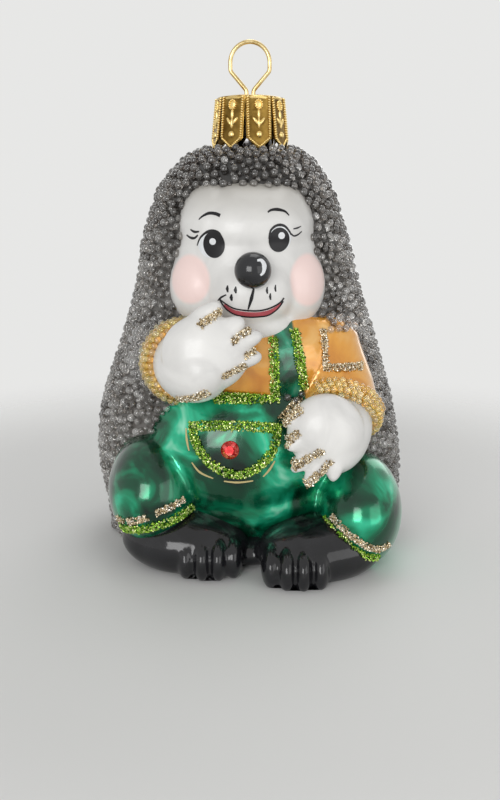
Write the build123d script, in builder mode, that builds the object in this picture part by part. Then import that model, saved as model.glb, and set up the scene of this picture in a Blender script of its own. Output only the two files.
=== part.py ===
# Blown-glass hedgehog ornament: a hollow painted figure sitting with one hand at its mouth,
# dressed with glass beads, glitter and a crystal, hung by a gilt crown cap and a spring wire.
# Millimetres. Z is up, the figure looks along -Y, the origin is the middle of its resting base.
import os
from math import cos, radians

from build123d import *

os.makedirs("parts", exist_ok=True)

# Glass shell
wall = 1.2
neck_radius = 5.6
neck_top = 105.7
glue_gap = 0.08

# Cloak of the back and head: height, half width, half depth, centre x, centre y of each level
cloak_levels = (
    (0, 35, 24, 0, 4),
    (18, 37, 26, 0, 4),
    (50, 30, 23.5, -0.4, 4),
    (74, 23.4, 19.5, -1.0, 2.5),
    (86, 19, 16, -1.0, 1.5),
    (92, 14, 12, -0.4, 0.5),
    (94.2, 9.4, 9.2, 0, 0),
)

# Blown swellings: centre, full size, turn about the vertical
swells = {
    "belly": ((-1.5, -5, 27), (52, 48, 46), 0),
    "chest": ((1, -7, 47), (46, 35, 32), 0),
    "brow": ((-0.8, -5, 77), (33, 37, 24), 0),
    "right_temple": ((-7.8, -5.5, 77.5), (18, 32, 22), 0),
    "left_temple": ((6, -5.5, 77.5), (18, 32, 22), 0),
    "face": ((-0.8, -6, 69), (35, 35.5, 34), 0),
    "right_cheek": ((-10.5, -11.5, 64.5), (16, 18.5, 20), 0),
    "left_cheek": ((9.3, -11.5, 64.5), (16, 18.5, 20), 0),
    "muzzle": ((0.2, -18, 64), (20, 17, 17), 0),
    "chin": ((0, -14, 56), (22, 19, 12), 0),
    "nose": ((0.6, -26.8, 69.3), (7.9, 7.2, 7.8), 180),
    "right_thigh": ((-22.5, -16, 17), (22, 29, 27), 0),
    "left_thigh": ((25.5, -17.5, 12.5), (20.5, 31, 27), 0),
    "right_foot": ((-15.5, -21, 6), (30, 20, 15.6), -12),
    "left_foot": ((16.3, -24.5, 5.5), (30, 21, 15.6), 12),
    "lap": ((0.5, -14, 15), (38, 23, 22), 0),
    "instep": ((0, -17, 3), (22, 18, 8), 0),
    "right_palm": ((-9.5, -29.5, 52), (19, 11, 17), 0),
    "left_palm": ((16.5, -29, 34.5), (17, 10.5, 17), 0),
}
toe_size = (4.6, 10, 10)
for number, spot in enumerate(((-14.5, -27.5, 4.2), (-10.8, -28.7, 4.2), (-7.2, -28.7, 4.2), (-3.8, -27.4, 4.2))):
    swells[f"right_toe_{number}"] = (spot, toe_size, 0)
for number, spot in enumerate(((4.7, -31.5, 3.8), (8.2, -33, 3.8), (11.8, -33.3, 3.8), (15.6, -32.5, 3.8))):
    swells[f"left_toe_{number}"] = (spot, toe_size, 0)

# Fingers: root, tip, radius
fingers = {
    "right_finger_0": ((-13, -28, 57), (-8, -29, 61.2), 2.4),
    "right_finger_1": ((-10, -30, 54), (-3.4, -30, 58), 2.7),
    "right_finger_2": ((-10, -30, 52.5), (0.2, -30, 55.4), 2.7),
    "right_finger_3": ((-10, -30, 50.5), (0, -30, 51.2), 2.7),
    "left_thumb": ((17, -29, 40), (9.5, -30, 37.2), 2.2),
    "left_finger_0": ((17, -30, 36), (9.8, -31.5, 32.3), 2.2),
    "left_finger_1": ((18, -30, 34), (10.6, -31.5, 27.6), 2.2),
    "left_finger_2": ((18.5, -30, 33), (13.2, -31.5, 24.6), 2.2),
    "left_finger_3": ((19.5, -30, 33), (18.3, -31.5, 26), 2.2),
}

# Arms: the round mouth of each cuff, the way it faces, and the shoulder end of the sleeve
right_cuff = Plane(origin=(-14.6, -19, 48), z_dir=(0.35, -0.93, 0.05))
left_cuff = Plane(origin=(20.2, -20.5, 36), z_dir=(-0.2, -0.75, -0.63))
cuff_radius = 8.8
sleeves = {
    "right_sleeve": (right_cuff, cuff_radius, right_cuff.offset(-16), 9.6),
    "left_sleeve": (left_cuff, cuff_radius, Plane(origin=(17.5, -8, 56), z_dir=(-0.15, -0.4, -0.9)), 8),
}
forearms = {
    "right_forearm": (right_cuff, 5, (8.2, 8.2, 13.2)),
    "left_forearm": (left_cuff, 3.5, (8, 8, 11.5)),
}

# Trims laid on the glass
coat_depth = 1.4
coat_foot = 0.6
coat_ring = 10.1
bead_row = 0.9
right_beads_end = -12.8
left_beads_end = 14.8
glitter_height = 0.55
broad_line = 1.8
fine_line = 1.3
stitch_line = 0.7
crystal_across = 4.1
crystal_height = 1.6

# Crown cap and hanger wire
cap_sheet = 0.4
cap_top = 106.4
cap_radius = 7.8
petal_count = 8
petal_turn = 14.5
petal_width = 5.8
petal_drop = 11.6
petal_flare = 6
cap_hole = 1.75
wire_radius = 0.5


def egg(centre, size, turn=0, grow=0):
    """A rounded swelling, its poles up and down and its seam at the back."""
    with BuildPart() as ball:
        Sphere(1, rotation=(0, 0, 90))
        scale(by=tuple(s / 2 + grow for s in size))
    return ball.part.moved(Location(centre, (0, 0, turn)))


def pod(root, tip, radius, grow=0):
    """A long rounded swelling between two points."""
    along = Vector(*tip) - Vector(*root)
    middle = Plane(origin=Vector(*root) + along * 0.5, z_dir=along)
    with BuildPart() as ball:
        Sphere(1)
        scale(by=(radius + grow, radius + grow, along.length / 2 + radius + grow))
    return ball.part.moved(middle.location)


def arm(cuff, reach, half, grow=0):
    """A forearm that comes out of its cuff."""
    with BuildPart() as ball:
        Sphere(1)
        scale(by=tuple(h + grow for h in half))
    return ball.part.moved(cuff.offset(reach).location)


def sleeve(cuff, cuff_size, shoulder, shoulder_size, grow=0):
    """A round sleeve from the shoulder to the mouth of its cuff."""
    with BuildPart() as tube:
        with BuildSketch(shoulder):
            Circle(shoulder_size + grow)
        with BuildSketch(cuff.offset(grow)):
            Circle(cuff_size + grow)
        loft(ruled=True)
    return tube.part


def cloak(grow=0):
    """The smooth back and head of the figure, level by level."""
    with BuildPart() as mantle:
        for height, wide, deep, x, y in cloak_levels:
            with BuildSketch(Plane(origin=(x, y, height))):
                Ellipse(wide + grow, deep + grow)
        loft()
    return mantle.part


def form(name, grow=0):
    """One named form of the glass, swollen by grow."""
    if name in swells:
        return egg(*swells[name], grow=grow)
    if name in fingers:
        return pod(*fingers[name], grow=grow)
    if name in forearms:
        return arm(*forearms[name], grow=grow)
    if name in sleeves:
        return sleeve(*sleeves[name], grow=grow)
    return cloak(grow)


def named(*starts):
    """The names of the swellings and fingers that begin so."""
    return [name for name in [*swells, *fingers] if name.startswith(starts)]


trunk = ["belly", "chest", "right_thigh", "left_thigh", "lap", "instep"]
head = ["face", "brow", *named("right_temple", "left_temple", "right_cheek", "left_cheek"), "muzzle", "chin"]
right_hand = ["right_forearm", "right_palm", *named("right_finger")]
left_hand = ["left_forearm", "left_palm", "left_thumb", *named("left_finger")]
limbs = (
    ["right_sleeve", *right_hand],
    ["left_sleeve", *left_hand],
    ["right_foot", *named("right_toe")],
    ["left_foot", *named("left_toe")],
)


def blow(names, grow=0):
    """Several forms of the glass in one."""
    with BuildPart() as blown:
        for name in names:
            add(form(name, grow))
    return blown.part


def lay_on(strokes, start, hosts, clear_of=()):
    """A raised line: strokes seen from the front, pressed onto the host forms from the depth start on."""
    with BuildPart() as line:
        add(extrude(strokes.moved(Location((0, -start, 0))), amount=48 - start))
        add(blow(hosts, glue_gap + glitter_height), mode=Mode.INTERSECT)
        for name in [*hosts, *clear_of]:
            add(form(name, glue_gap), mode=Mode.SUBTRACT)
    return line.part


def strokes_of(paths, width):
    """Straight and bent strokes on the front plane, each a run of points in x and z."""
    with BuildSketch(Plane.XZ) as drawn:
        for path in paths:
            with BuildLine():
                if len(path) == 2:
                    Line(*path)
                else:
                    Spline(*path)
            trace(line_width=width)
    return drawn.sketch


# The glass figure: one blown shell, silvered inside and lacquered outside, open at its neck.
with BuildPart() as hollow:
    add(cloak(-wall))
    for name in ("belly", "chest", "face", "brow", "right_thigh", "left_thigh"):
        add(form(name, -wall))
    with Locations((0, 0, wall)):
        Box(100, 100, 93 - wall, align=(Align.CENTER, Align.CENTER, Align.MIN), mode=Mode.INTERSECT)
    with Locations((0, 0, 80)):
        Cylinder(neck_radius - wall, 40, align=(Align.CENTER, Align.CENTER, Align.MIN))

with BuildPart() as glass_figure:
    add(blow(["cloak", *trunk]))
    add(blow(head))
    for limb in limbs:
        add(blow(limb))
    with Locations((0, 0, 90)):
        Cylinder(neck_radius, neck_top - 90, align=(Align.CENTER, Align.CENTER, Align.MIN))
    split(bisect_by=Plane.XY, keep=Keep.TOP)
    add(hollow.part, mode=Mode.SUBTRACT)
    add(form("nose"))
glass_figure.part.label = "glass_figure"
export_step(glass_figure.part, "parts/glass_figure.step")

# Amber beads round the mouth of each sleeve, in two rows.
with BuildPart() as right_cuff_beads:
    for row in (0, 1):
        with Locations(right_cuff.offset(-bead_row * (1 + 1.7 * row)).location):
            Torus(cuff_radius + bead_row + glue_gap + 0.1 * row, bead_row)
    for name in ["right_sleeve", "cloak", "chest", "belly", "right_forearm", "right_palm", "right_cheek", "face"]:
        add(form(name, glue_gap), mode=Mode.SUBTRACT)
    split(bisect_by=Plane.YZ.offset(right_beads_end), keep=Keep.BOTTOM)
right_cuff_beads.part.label = "right_cuff_beads"
export_step(right_cuff_beads.part, "parts/right_cuff_beads.step")

with BuildPart() as left_cuff_beads:
    for row in (0, 1):
        with Locations(left_cuff.offset(-bead_row * (1 + 1.7 * row)).location):
            Torus(cuff_radius + bead_row + glue_gap, bead_row)
    for name in ["left_sleeve", "cloak", "chest", "belly", "left_forearm", "left_palm", "left_thigh"]:
        add(form(name, glue_gap), mode=Mode.SUBTRACT)
    split(bisect_by=Plane.YZ.offset(left_beads_end), keep=Keep.TOP)
left_cuff_beads.part.label = "left_cuff_beads"
export_step(left_cuff_beads.part, "parts/left_cuff_beads.step")

# The coat of clear beads that stands for the spines, over the whole back, sides and top of the head.
with BuildPart() as spine_bead_coat:
    add(cloak(coat_depth))
    add(form("right_sleeve", coat_depth))
    with Locations((0, 0, coat_foot)):
        Box(100, 100, 120, align=(Align.CENTER, Align.CENTER, Align.MIN), mode=Mode.INTERSECT)
    with Locations((0, 0, 80)):
        Cylinder(coat_ring, 40, align=(Align.CENTER, Align.CENTER, Align.MIN), mode=Mode.SUBTRACT)
    add(cloak(glue_gap), mode=Mode.SUBTRACT)
    for name in [*trunk, *head, "right_foot", "left_foot", *sleeves, *forearms]:
        add(form(name, glue_gap), mode=Mode.SUBTRACT)
    for cuff in (right_cuff, left_cuff):
        with Locations(cuff.offset(-4 * bead_row).location):
            Cylinder(
                cuff_radius + 2.4 * bead_row, 8 * bead_row, align=(Align.CENTER, Align.CENTER, Align.MIN), mode=Mode.SUBTRACT
            )
    add(spine_bead_coat.part.solids().sort_by(SortBy.VOLUME)[-1], mode=Mode.REPLACE)
spine_bead_coat.part.label = "spine_bead_coat"
export_step(spine_bead_coat.part, "parts/spine_bead_coat.step")

# The red crystal on the pocket: a twelve-sided flat-back stone.
crystal_seat = Plane(origin=(-4.41, -28.69, 30.21), z_dir=(-0.103, -0.984, 0.145))
with BuildPart() as pocket_gem:
    with BuildSketch(crystal_seat):
        RegularPolygon(crystal_across / 2, 12)
    with BuildSketch(crystal_seat.offset(0.35)):
        RegularPolygon(crystal_across / 2, 12)
    with BuildSketch(crystal_seat.offset(crystal_height)):
        RegularPolygon(crystal_across * 0.27, 12)
    loft(ruled=True)
pocket_gem.part.label = "pocket_gem"
export_step(pocket_gem.part, "parts/pocket_gem.step")

# Glitter lines, each laid on the glass in one stroke or one set of strokes.
with BuildSketch(Plane.XZ) as pocket_shape:
    with BuildLine():
        Spline((-12.5, 34.5), (-6.2, 35.2), (0, 35.1), (5.8, 34.4))
        Spline((-12.5, 34.5), (-8.9, 27.2), (-2.7, 24.7), (2.7, 27.2), (5.8, 34.4))
    trace(line_width=broad_line)
with BuildPart() as pocket_edge_glitter:
    add(lay_on(pocket_shape.sketch, 10, ["belly"], left_hand))
pocket_edge_glitter.part.label = "pocket_edge_glitter"
export_step(pocket_edge_glitter.part, "parts/pocket_edge_glitter.step")

pocket_stitches = strokes_of(
    (
        ((-14.3, 34), (-14.1, 31.5), (-13.6, 29.2)),
        ((-13, 26.6), (-11.2, 24.5), (-8.2, 23.3)),
        ((-5.8, 22.8), (-2.7, 22.6), (0.7, 23)),
        ((2.9, 23.9), (4.3, 25.5), (5.5, 27.5)),
    ),
    stitch_line,
)
with BuildPart() as pocket_stitch_glitter:
    add(lay_on(pocket_stitches, 10, ["belly"], left_hand))
pocket_stitch_glitter.part.label = "pocket_stitch_glitter"
export_step(pocket_stitch_glitter.part, "parts/pocket_stitch_glitter.step")

with BuildSketch(Plane.XZ) as bib_shape:
    with BuildLine():
        Polyline((-7, 46), (-7, 40.6), (5.5, 40.6), (5, 54))
    trace(line_width=broad_line)
with BuildPart() as bib_edge_glitter:
    add(lay_on(bib_shape.sketch, 12, ["chest", "belly"], [*right_hand, "muzzle", "chin"]))
bib_edge_glitter.part.label = "bib_edge_glitter"
export_step(bib_edge_glitter.part, "parts/bib_edge_glitter.step")

strap_shape = strokes_of((((9.8, 55.5), (11.1, 48.3), (12.1, 42.4)),), broad_line)
with BuildPart() as strap_edge_glitter:
    add(lay_on(strap_shape, 12, ["chest", "belly"], ["chin", "left_cheek", "left_sleeve"]))
strap_edge_glitter.part.label = "strap_edge_glitter"
export_step(strap_edge_glitter.part, "parts/strap_edge_glitter.step")

right_hem_shape = strokes_of((((-29.5, 10.8), (-26, 11.4), (-21.8, 12.6), (-17.1, 13.9), (-13.4, 15.2)),), broad_line)
with BuildPart() as right_hem_glitter:
    add(lay_on(right_hem_shape, 18, ["right_thigh"], ["right_foot", "belly", "lap"]))
right_hem_glitter.part.label = "right_hem_glitter"
export_step(right_hem_glitter.part, "parts/right_hem_glitter.step")

left_hem_shape = strokes_of((((16.9, 13.2), (19, 11), (22, 8.7), (25.5, 6.6), (29, 5)),), broad_line)
with BuildPart() as left_hem_glitter:
    add(lay_on(left_hem_shape, 19, ["left_thigh"], ["left_foot", "belly", "lap"]))
left_hem_glitter.part.label = "left_hem_glitter"
export_step(left_hem_glitter.part, "parts/left_hem_glitter.step")

right_hem_dashes = strokes_of(
    (((-30, 13.1), (-28.4, 13.3)), ((-27.4, 13.4), (-22.8, 15.2)), ((-21, 16.2), (-15.2, 18))), fine_line
)
with BuildPart() as right_hem_stitch:
    add(lay_on(right_hem_dashes, 18, ["right_thigh"], ["right_foot", "belly", "lap"]))
right_hem_stitch.part.label = "right_hem_stitch"
export_step(right_hem_stitch.part, "parts/right_hem_stitch.step")

left_hem_dashes = strokes_of((((18.6, 14.6), (22.4, 11.7), (25.2, 9.8), (28.6, 8), (31.2, 8.2)),), fine_line)
with BuildPart() as left_hem_stitch:
    add(lay_on(left_hem_dashes, 19, ["left_thigh"], ["left_foot", "belly", "lap"]))
left_hem_stitch.part.label = "left_hem_stitch"
export_step(left_hem_stitch.part, "parts/left_hem_stitch.step")

with BuildSketch(Plane.XZ) as seam_shape:
    with BuildLine():
        Polyline((16.4, 55), (17.2, 47.1), (25.2, 47.1))
    trace(line_width=fine_line)
with BuildPart() as sleeve_seam_glitter:
    add(lay_on(seam_shape.sketch, 12, ["left_sleeve"], ["chest", "cloak", "left_forearm"]))
sleeve_seam_glitter.part.label = "sleeve_seam_glitter"
export_step(sleeve_seam_glitter.part, "parts/sleeve_seam_glitter.step")

right_hand_strokes = strokes_of(
    (
        ((-10.4, 58.1), (-6.2, 61.2)),
        ((-3.9, 55), (-0.2, 57.2)),
        ((-1.3, 51.8), (0.9, 52.8)),
        ((-5.9, 48.2), (-1.1, 50)),
    ),
    fine_line,
)
with BuildPart() as right_hand_glitter:
    add(lay_on(right_hand_strokes, 29.5, right_hand))
right_hand_glitter.part.label = "right_hand_glitter"
export_step(right_hand_glitter.part, "parts/right_hand_glitter.step")

left_hand_strokes = strokes_of(
    (((7.4, 32.2), (10.7, 35.3)), ((9.5, 27.6), (15.6, 31.8)), ((12.4, 23.6), (17.7, 29.3))), fine_line
)
with BuildPart() as left_hand_glitter:
    add(lay_on(left_hand_strokes, 29.5, left_hand))
left_hand_glitter.part.label = "left_hand_glitter"
export_step(left_hand_glitter.part, "parts/left_hand_glitter.step")

right_cuff_stroke = strokes_of((((-15.5, 42.2), (-12.2, 43.3), (-8.9, 45)),), fine_line)
with BuildPart() as right_cuff_glitter:
    add(lay_on(right_cuff_stroke, 24, ["right_forearm", "right_palm"], ["right_sleeve", "belly", "chest"]))
right_cuff_glitter.part.label = "right_cuff_glitter"
export_step(right_cuff_glitter.part, "parts/right_cuff_glitter.step")

left_wrist_stroke = strokes_of((((11.4, 40.2), (9.2, 38.4), (6.8, 36.2)),), fine_line)
with BuildPart() as left_wrist_glitter:
    add(lay_on(left_wrist_stroke, 20, ["belly", "left_palm", "left_thumb"], ["left_sleeve", "chest", "left_forearm"]))
left_wrist_glitter.part.label = "left_wrist_glitter"
export_step(left_wrist_glitter.part, "parts/left_wrist_glitter.step")

# The crown cap: a stamped gilt disc with eight pointed petals that spread over the neck.
with BuildSketch() as petal_shape:
    with BuildLine():
        half = petal_width / 2
        Polyline((half, 0), (half, -petal_drop + 2.4), (0, -petal_drop), (-half, -petal_drop + 2.4), (-half, 0), close=True)
    make_face()

with BuildPart() as crown_cap:
    with Locations((0, 0, cap_top)):
        Cylinder(cap_radius, cap_sheet, align=(Align.CENTER, Align.CENTER, Align.MAX))
    with PolarLocations(0, petal_count, start_angle=petal_turn):
        hang = Location((0, -cap_radius * cos(radians(180 / petal_count)), cap_top - cap_sheet / 2), (90 - petal_flare, 0, 0))
        add(extrude(petal_shape.sketch.moved(hang), amount=cap_sheet / 2, both=True, mode=Mode.PRIVATE))
    with Locations((0, 0, cap_top)):
        Cylinder(cap_hole, 6, mode=Mode.SUBTRACT)
crown_cap.part.label = "crown_cap"
export_step(crown_cap.part, "parts/crown_cap.step")

# The hanger: one spring wire, a loop above the cap and two legs that splay inside the neck.
with BuildPart() as hanger_wire:
    with BuildLine() as wire_run:
        left_leg = FilletPolyline(
            (-3.4, 0, 86), (-0.8, 0, 101.5), (-0.8, 0, 108), (-4.5, 0, 112.2), (-4.5, 0, 114), radius=1.4
        )
        ThreePointArc((-4.5, 0, 114), (0, 0, 118.5), (4.5, 0, 114))
        FilletPolyline((4.5, 0, 114), (4.5, 0, 112.2), (0.8, 0, 108), (0.8, 0, 101.5), (3.4, 0, 86), radius=1.4)
    with BuildSketch(Plane(origin=wire_run.line @ 0, z_dir=wire_run.line % 0)):
        Circle(wire_radius)
    sweep()
hanger_wire.part.label = "hanger_wire"
export_step(hanger_wire.part, "parts/hanger_wire.step")
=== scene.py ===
import math
import random

import bpy
import numpy as np
from mathutils import Matrix, Vector
from mathutils.bvhtree import BVHTree


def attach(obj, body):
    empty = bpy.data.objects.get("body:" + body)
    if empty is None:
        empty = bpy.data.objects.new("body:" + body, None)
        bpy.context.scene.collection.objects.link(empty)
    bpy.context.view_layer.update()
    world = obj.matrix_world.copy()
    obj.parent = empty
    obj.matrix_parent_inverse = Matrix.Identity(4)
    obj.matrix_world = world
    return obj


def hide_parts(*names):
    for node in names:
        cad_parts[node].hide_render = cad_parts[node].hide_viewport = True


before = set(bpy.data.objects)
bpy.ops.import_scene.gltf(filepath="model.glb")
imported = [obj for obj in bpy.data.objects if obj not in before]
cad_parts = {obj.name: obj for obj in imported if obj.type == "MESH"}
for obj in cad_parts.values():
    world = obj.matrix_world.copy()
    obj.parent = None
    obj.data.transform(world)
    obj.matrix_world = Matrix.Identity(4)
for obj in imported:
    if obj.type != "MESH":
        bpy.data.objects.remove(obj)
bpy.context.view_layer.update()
bpy.ops.object.select_all(action="DESELECT")
MM = 0.001


# The back of the figure and its head: one tall blown form, lacquered dark grey before the beads go on.
# It narrows from a broad seat to a low dome, and the glass neck for the cap stands on the dome.
# A bed of dark glue lies over it, which the beads are pressed into.
glue_bed = 0.45
mantle_rows = 60
mantle_levels = (
    (0, 34.8, 22.2, 0.2, 3.2),
    (6, 35.4, 23, 0.6, 2.9),
    (12, 36.3, 24.2, 0.5, 3.4),
    (18, 37, 26, 0, 4),
    (24, 36.8, 27.3, -0.4, 4.5),
    (30, 36, 27.8, -0.7, 4.5),
    (36, 34.6, 27.3, -0.7, 4.4),
    (42, 32.7, 26, -0.6, 4.1),
    (50, 30, 23.5, -0.4, 4),
    (58, 27.4, 21.6, -0.4, 3.6),
    (66, 25.2, 20.4, -0.7, 3.1),
    (74, 23.4, 19.5, -1.0, 2.5),
    (80, 21.4, 18.2, -1.1, 2.05),
    (86, 19, 16, -1.0, 1.5),
    (92, 14, 12, -0.4, 0.5),
    (94.2, 9.4, 9.2, 0, 0),
)
# Heights between which the dark grey turns darker upwards: painted shade over the top of the back and head.
mantle_painted_shade_top, mantle_painted_shade_foot = 92, 60
mantle_stops = ((0.15, (0.008, 0.007, 0.006)), (0.5, (0.03, 0.026, 0.023)), (0.95, (0.13, 0.12, 0.11)))
neck_radius, neck_wall = 5.6, 1.2
neck_foot, neck_top = 93, 105.7
bore_depth = 12
# The neck's foot is near black up to this height: painted shade under the cap's petals.
neck_shaded_to = 97.5
neck_painted_shade = (0.014, 0.011, 0.010)
neck_stops = ((0.3, (0.42, 0.42, 0.44)), (0.7, (0.68, 0.68, 0.70)))


def through(points, share, kind=Vector):
    """A place on a smooth line through the points, with share running from 0 to 1."""
    run = share * (len(points) - 1)
    first = min(int(run), len(points) - 2)
    t = run - first
    before, start, end, after = [kind(points[min(max(first + k, 0), len(points) - 1)]) for k in (-1, 0, 1, 2)]
    bend = 2 * start + (end - before) * t
    bend += (2 * before - 5 * start + 4 * end - after) * t**2
    bend += (3 * start - before - 3 * end + after) * t**3
    return bend / 2


def mantle_at(place):
    """Height, half width, half depth and centre of the mantle at a place from 0, the seat, to 1, the dome."""
    return through(mantle_levels, place, np.array)


def pick(*pieces):
    """Only these pieces selected, and the first of them active."""
    bpy.ops.object.select_all(action="DESELECT")
    for piece in pieces:
        piece.select_set(True)
    bpy.context.view_layer.objects.active = pieces[0]


def face_out():
    """Every face of the active piece turned to look outward."""
    bpy.ops.object.mode_set(mode="EDIT")
    bpy.ops.mesh.select_all(action="SELECT")
    bpy.ops.mesh.normals_make_consistent(inside=False)
    bpy.ops.object.mode_set(mode="OBJECT")


def choose_face(piece, wanted):
    """The piece opened for editing with only the wanted faces selected."""
    bpy.ops.object.mode_set(mode="EDIT")
    bpy.ops.mesh.select_all(action="DESELECT")
    bpy.ops.object.mode_set(mode="OBJECT")
    for face in piece.data.polygons:
        face.select = wanted(face)
    bpy.ops.object.mode_set(mode="EDIT")


def settle(piece, name):
    """The piece named, its place and size put into its mesh, and every modifier applied."""
    pick(piece)
    bpy.ops.object.transform_apply(location=True, rotation=True, scale=True)
    for modifier in list(piece.modifiers):
        bpy.ops.object.modifier_apply(modifier=modifier.name)
    bpy.ops.object.shade_smooth()
    piece.name = name
    piece.data.name = name
    return piece


def new_finish(name, roughness, coat=0.0, metallic=0.0):
    """A material, the tree of its nodes and its shader, with the shader's fixed numbers set."""
    finish = bpy.data.materials.new(name)
    finish.use_nodes = True
    shader = finish.node_tree.nodes["Principled BSDF"]
    shader.inputs["Roughness"].default_value = roughness
    shader.inputs["Metallic"].default_value = metallic
    shader.inputs["Coat Weight"].default_value = coat
    shader.inputs["Coat Roughness"].default_value = 0.03
    return finish, finish.node_tree, shader


def wear(piece, finish, body="figure"):
    """The finish put on the piece, and the piece set to ride on its body."""
    piece.data.materials.clear()
    piece.data.materials.append(finish)
    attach(piece, body)
    return piece


def shaded(tree, value, stops):
    """The colour of a value on a ramp with the given stops."""
    ramp = tree.nodes.new("ShaderNodeValToRGB")
    while len(ramp.color_ramp.elements) < len(stops):
        ramp.color_ramp.elements.new(0.5)
    for element, (place, colour) in zip(ramp.color_ramp.elements, stops):
        element.position = place
        element.color = (*colour, 1)
    tree.links.new(value, ramp.inputs["Fac"])
    return ramp.outputs["Color"]


def place_on(tree):
    """Where on the piece a point lies, in the piece's own coordinates."""
    return tree.nodes.new("ShaderNodeTexCoord").outputs["Object"]


def spot_on(tree):
    """The same place as x, y and z."""
    spot = tree.nodes.new("ShaderNodeSeparateXYZ")
    tree.links.new(place_on(tree), spot.inputs["Vector"])
    return spot.outputs


# The mottling that all the lacquers share: slow cloudy patches, and a fine grain beside them.
mottle = bpy.data.node_groups.new("mottle", "ShaderNodeTree")
for way, name in (("INPUT", "Scale"), ("OUTPUT", "Cloud"), ("OUTPUT", "Grain")):
    mottle.interface.new_socket(name, in_out=way, socket_type="NodeSocketFloat")
inlet = mottle.nodes.new("NodeGroupInput")
outlet = mottle.nodes.new("NodeGroupOutput")
cloud = mottle.nodes.new("ShaderNodeTexNoise")
cloud.inputs["Detail"].default_value = 3
cloud.inputs["Distortion"].default_value = 0.7
grain = mottle.nodes.new("ShaderNodeTexNoise")
grain.inputs["Scale"].default_value = 1400
grain.inputs["Detail"].default_value = 2
mottle.links.new(inlet.outputs["Scale"], cloud.inputs["Scale"])
for noise, name in ((cloud, "Cloud"), (grain, "Grain")):
    mottle.links.new(place_on(mottle), noise.inputs["Vector"])
    mottle.links.new(noise.outputs["Fac"], outlet.inputs[name])


def mottled(tree, scale):
    """The shared mottling, placed in a finish at its own scale."""
    node = tree.nodes.new("ShaderNodeGroup")
    node.node_tree = mottle
    node.inputs["Scale"].default_value = scale
    return node.outputs


def clouded(tree, shader, scale, stops):
    """The finish coloured by the mottling's clouds, which are given back."""
    clouds = mottled(tree, scale)["Cloud"]
    tree.links.new(shaded(tree, clouds, stops), shader.inputs["Base Color"])
    return clouds


def rippled(tree, shader, source, strength, depth):
    """A gentle ripple on the surface, from a value that changes over it."""
    bump = tree.nodes.new("ShaderNodeBump")
    bump.inputs["Strength"].default_value = strength
    bump.inputs["Distance"].default_value = depth * MM
    tree.links.new(source, bump.inputs["Height"])
    tree.links.new(bump.outputs["Normal"], shader.inputs["Normal"])


def spread(tree, value, start, end, low=0.0, high=1.0, kind="LINEAR"):
    """A value between start and end, stretched to run from low to high."""
    node = tree.nodes.new("ShaderNodeMapRange")
    node.interpolation_type = kind
    for socket, number in (("From Min", start), ("From Max", end), ("To Min", low), ("To Max", high)):
        node.inputs[socket].default_value = number
    tree.links.new(value, node.inputs["Value"])
    return node.outputs["Result"]


def past(tree, value, limit, above=True, soft=0.25):
    """A soft edged mask: one where the value is past the limit, in millimetres."""
    side = soft if above else -soft
    return spread(tree, value, (limit - side) * MM, (limit + side) * MM)


def maths(tree, operation, *values):
    """One sum of values, each of them from a node or a plain number."""
    node = tree.nodes.new("ShaderNodeMath")
    node.operation = operation
    for socket, value in zip(node.inputs, values):
        if isinstance(value, float):
            socket.default_value = value
        else:
            tree.links.new(value, socket)
    return node.outputs["Value"]


def mixed(tree, share, first, second):
    """Two colours mixed by a share, each of them from a node or a plain colour."""
    node = tree.nodes.new("ShaderNodeMix")
    node.data_type = "RGBA"
    tree.links.new(share, node.inputs["Factor"])
    for socket, colour in ((node.inputs["A"], first), (node.inputs["B"], second)):
        if isinstance(colour, tuple):
            socket.default_value = (*colour, 1)
        else:
            tree.links.new(colour, socket)
    return node.outputs["Result"]


bpy.ops.mesh.primitive_circle_add(vertices=72, radius=MM, fill_type="NGON")
mantle = bpy.context.object
bpy.ops.object.mode_set(mode="EDIT")
for row in range(mantle_rows + 1):
    height, wide, deep, x, y = mantle_at(row / mantle_rows)
    wide, deep = wide + glue_bed, deep + glue_bed
    if row == 0:
        bpy.ops.transform.resize(value=(wide, deep, 1), center_override=(0, 0, 0))
        bpy.ops.transform.translate(value=(x * MM, y * MM, height * MM))
    else:
        step = Vector((x - last[3], y - last[4], height - last[0])) * MM
        bpy.ops.mesh.extrude_region_move(TRANSFORM_OT_translate={"value": step})
        bpy.ops.transform.resize(
            value=(wide / last[1], deep / last[2], 1), center_override=(x * MM, y * MM, height * MM)
        )
    last = (height, wide, deep, x, y)
bpy.ops.object.mode_set(mode="OBJECT")
face_out()
settle(mantle, "glass_mantle")
dark_lacquer, tree, shader = new_finish("dark_lacquer", 0.35, 0.6)
# The dark grey is lightened below 92 mm, most at 60 mm, so the top is darker: painted shade.
less_painted_shade_below = spread(tree, spot_on(tree)["Z"], mantle_painted_shade_top * MM, mantle_painted_shade_foot * MM, high=0.6)
tone = maths(tree, "MULTIPLY_ADD", mottled(tree, 160)["Cloud"], 0.5, less_painted_shade_below)
tree.links.new(shaded(tree, tone, mantle_stops), shader.inputs["Base Color"])
wear(mantle, dark_lacquer)
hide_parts("glass_figure")

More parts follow.
